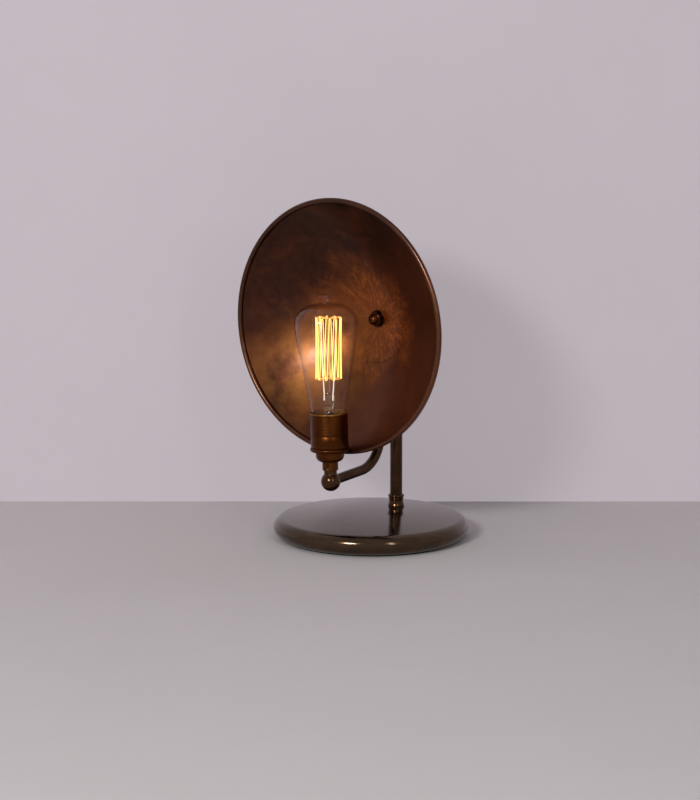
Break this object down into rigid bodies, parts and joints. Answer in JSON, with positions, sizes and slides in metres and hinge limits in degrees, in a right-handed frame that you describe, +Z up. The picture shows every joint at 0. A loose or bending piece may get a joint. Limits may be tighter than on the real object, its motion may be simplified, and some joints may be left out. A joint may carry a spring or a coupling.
{
  "type": "table lamp",
  "caption": "Table lamp with a bare long bulb on a bent arm in front of a round spun dish, on a thin stem and a heavy round base.",
  "frame": {"origin": "centre of the felt's underside, on the surface the lamp stands on", "axes": "+Z up along the stem; the dish and bulb face -Y; +X to the right seen from the front"},
  "size_m": [0.2574, 0.206, 0.3532],
  "materials": {
    "aged_bronze": "satin, dark bronze patina over brass",
    "dish_copper": "spun copper with mottled brown and orange patina",
    "base_bronze": "polished dark bronze lacquer on steel",
    "holder_brass": "aged brass, satin",
    "plain_brass": "bare turned brass",
    "plated_steel": "zinc plated",
    "cast_iron": "rough casting",
    "felt": "dark green felt",
    "porcelain": "glazed porcelain",
    "flex_cover": "brown sleeve",
    "bulb_glass": "clear blown glass",
    "mount_glass": "clear pressed glass",
    "insulator_glass": "black vitreous insulator",
    "bulb_metal": "bright rolled brass",
    "bulb_wire": "bright nickel wire",
    "filament_glow": "glowing carbon filament"
  },
  "bodies": {
    "base": {"base_shell": "base_bronze", "base_weight": "cast_iron", "base_felt": "felt", "cord_inlet_bush": "aged_bronze", "stem_foot_nipple": "plain_brass", "stem_foot_washer": "plated_steel", "stem_foot_nut": "plated_steel", "stem_collar": "aged_bronze", "stem_tube": "aged_bronze", "stem_ball": "aged_bronze", "stem_head_nipple": "plain_brass", "swivel_nipple": "plain_brass", "swivel_collar": "aged_bronze", "swivel_washer": "flex_cover", "flex_lower": "flex_cover"},
    "arm": {"dish": "dish_copper", "dish_seat": "aged_bronze", "dish_washer": "aged_bronze", "dish_stud": "plated_steel", "dome_nut": "aged_bronze", "arm_ball": "aged_bronze", "arm_tube": "aged_bronze", "elbow_ball": "aged_bronze", "neck_nipple": "plain_brass", "holder_neck": "holder_brass", "neck_grub_screw": "plated_steel", "cap_locknut": "plated_steel", "holder_cap": "holder_brass", "holder_skirt": "holder_brass", "porcelain_insert": "porcelain", "thread_shell": "plain_brass", "centre_contact": "plain_brass", "terminal_screws": "plated_steel", "flex_upper": "flex_cover", "lead_ends": "flex_cover"},
    "bulb_carrier": {"bulb_contact": "bulb_metal"},
    "bulb": {"bulb_insulator": "insulator_glass", "bulb_cap": "bulb_metal", "bulb_glass": "bulb_glass", "bulb_mount": "mount_glass", "filament": "filament_glow", "cage_hooks": "bulb_wire", "lead_in_wires": "bulb_wire"}
  },
  "joints": [
    {"name": "arm_swing", "type": "hinge", "parent": "base", "child": "arm", "pos_m": [0, 0.022, 0.2245], "axis": [0, -1, 0], "range_deg": [-90, 90]},
    {"name": "bulb_lift", "type": "slide", "parent": "arm", "child": "bulb_carrier", "axis": [-0.0349, 0, 0.9994], "range_m": [0, 0.0128]},
    {"name": "bulb_turn", "type": "hinge", "parent": "bulb_carrier", "child": "bulb", "pos_m": [0.00402, -0.07309, 0.10937], "axis": [-0.0349, 0, 0.9994], "range_deg": [0, 1260]}
  ],
  "couplings": [
    {"joint": "bulb_lift", "follows": "bulb_turn", "m_per_rad": 0.00057757}
  ]
}
